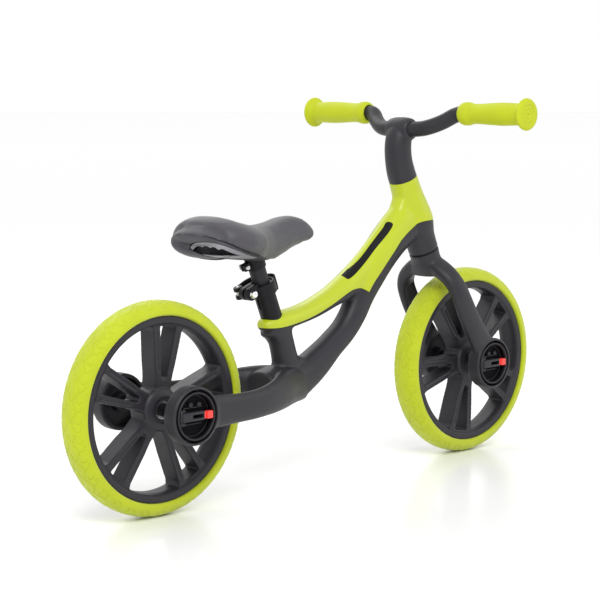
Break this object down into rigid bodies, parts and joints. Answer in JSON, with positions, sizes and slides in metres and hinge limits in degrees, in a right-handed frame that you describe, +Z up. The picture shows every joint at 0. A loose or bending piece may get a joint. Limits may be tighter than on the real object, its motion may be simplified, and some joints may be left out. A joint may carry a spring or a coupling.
{
  "type": "balance bike",
  "caption": "Child's pedal-less balance bike with a moulded frame, solid foam tyres, turned grips and a quick-release adjustable saddle.",
  "frame": {"origin": "on the floor, midway between the two axles, in the middle plane", "axes": "+X the way the bike rolls, +Y its left side, +Z up"},
  "size_m": [0.887, 0.42, 0.5356],
  "materials": {
    "lime_plastic": "satin",
    "graphite_plastic": "fine grain",
    "black_plastic": "matt",
    "foam_tyre": "matt with moulded tread",
    "soft_grip": "matt",
    "saddle_vinyl": "fine grain",
    "painted_steel": "gloss",
    "bare_steel": "satin",
    "bright_chrome": "polished",
    "red_plastic": "gloss"
  },
  "bodies": {
    "frame": {"main_frame": "graphite_plastic", "top_cover": "lime_plastic", "trim_strip_left": "black_plastic", "trim_strip_right": "black_plastic", "head_bush_lower": "black_plastic", "head_bush_upper": "black_plastic", "seat_tube_sleeve": "black_plastic", "clamp_collar": "black_plastic", "clamp_stud": "bare_steel", "clamp_pin": "bare_steel", "clamp_nut": "bright_chrome", "clamp_washer": "black_plastic", "rear_axle": "bare_steel", "rear_axle_cap": "black_plastic", "rear_spacer_left": "black_plastic", "rear_spacer_right": "black_plastic"},
    "steering": {"fork": "graphite_plastic", "crown_seal": "black_plastic", "steerer_tube": "bare_steel", "stem_wedge": "bare_steel", "stem_bolt": "bare_steel", "stem": "graphite_plastic", "handlebar": "painted_steel", "grip_left": "soft_grip", "grip_right": "soft_grip", "front_axle": "bare_steel", "front_axle_cap": "black_plastic", "front_spacer_left": "black_plastic", "front_spacer_right": "black_plastic"},
    "rear_wheel": {"rear_tyre": "foam_tyre", "rear_wheel_rim": "graphite_plastic", "rear_bearing_left": "bare_steel", "rear_bearing_right": "bare_steel"},
    "front_wheel": {"front_tyre": "foam_tyre", "front_wheel_rim": "graphite_plastic", "front_bearing_left": "bare_steel", "front_bearing_right": "bare_steel"},
    "seat": {"seat_post": "painted_steel", "post_end_plug": "black_plastic", "saddle_clamp": "black_plastic", "saddle_bolt": "bare_steel", "saddle_nut": "bare_steel", "saddle_tray": "graphite_plastic", "saddle_cushion": "saddle_vinyl"},
    "seat_lever": {"clamp_lever": "black_plastic"},
    "rear_dial_body": {"rear_dial": "graphite_plastic", "rear_dial_pin": "bare_steel"},
    "rear_dial_handle": {"rear_dial_bar": "graphite_plastic"},
    "rear_dial_lock": {"rear_lock_button": "red_plastic"},
    "front_dial_body": {"front_dial": "graphite_plastic", "front_dial_pin": "bare_steel"},
    "front_dial_handle": {"front_dial_bar": "graphite_plastic"},
    "front_dial_lock": {"front_lock_button": "red_plastic"}
  },
  "joints": [
    {"name": "steering", "type": "hinge", "parent": "frame", "child": "steering", "pos_m": [0.2115, 0, 0.3142], "axis": [-0.3971, 0, 0.9178], "range_deg": [-90, 90]},
    {"name": "rear_wheel_spin", "type": "hinge", "parent": "frame", "child": "rear_wheel", "pos_m": [-0.3035, 0, 0.14], "axis": [0, 1, 0], "continuous": true},
    {"name": "front_wheel_spin", "type": "hinge", "parent": "steering", "child": "front_wheel", "pos_m": [0.3035, 0, 0.14], "axis": [0, 1, 0], "continuous": true},
    {"name": "seat_height", "type": "slide", "parent": "frame", "child": "seat", "axis": [-0.3665, 0, 0.9304], "range_m": [-0.011, 0.05]},
    {"name": "seat_lever_open", "type": "hinge", "parent": "frame", "child": "seat_lever", "pos_m": [-0.1393, 0.0178, 0.27498], "axis": [-0.3665, 0, 0.9304], "range_deg": [0, 120]},
    {"name": "rear_dial_turn", "type": "hinge", "parent": "frame", "child": "rear_dial_body", "pos_m": [-0.3035, 0, 0.14], "axis": [0, 1, 0], "continuous": true},
    {"name": "rear_dial_bar_fold", "type": "hinge", "parent": "rear_dial_body", "child": "rear_dial_handle", "pos_m": [-0.3245, -0.0784, 0.14], "axis": [0, 0, -1], "range_deg": [0, 90]},
    {"name": "rear_lock_press", "type": "slide", "parent": "rear_dial_body", "child": "rear_dial_lock", "axis": [0, 1, 0], "range_m": [0, 0.0025], "stiffness_N_per_m": 400},
    {"name": "front_dial_turn", "type": "hinge", "parent": "steering", "child": "front_dial_body", "pos_m": [0.3035, 0, 0.14], "axis": [0, 1, 0], "continuous": true},
    {"name": "front_dial_bar_fold", "type": "hinge", "parent": "front_dial_body", "child": "front_dial_handle", "pos_m": [0.2825, -0.0574, 0.14], "axis": [0, 0, -1], "range_deg": [0, 90]},
    {"name": "front_lock_press", "type": "slide", "parent": "front_dial_body", "child": "front_dial_lock", "axis": [0, 1, 0], "range_m": [0, 0.0025], "stiffness_N_per_m": 400}
  ]
}
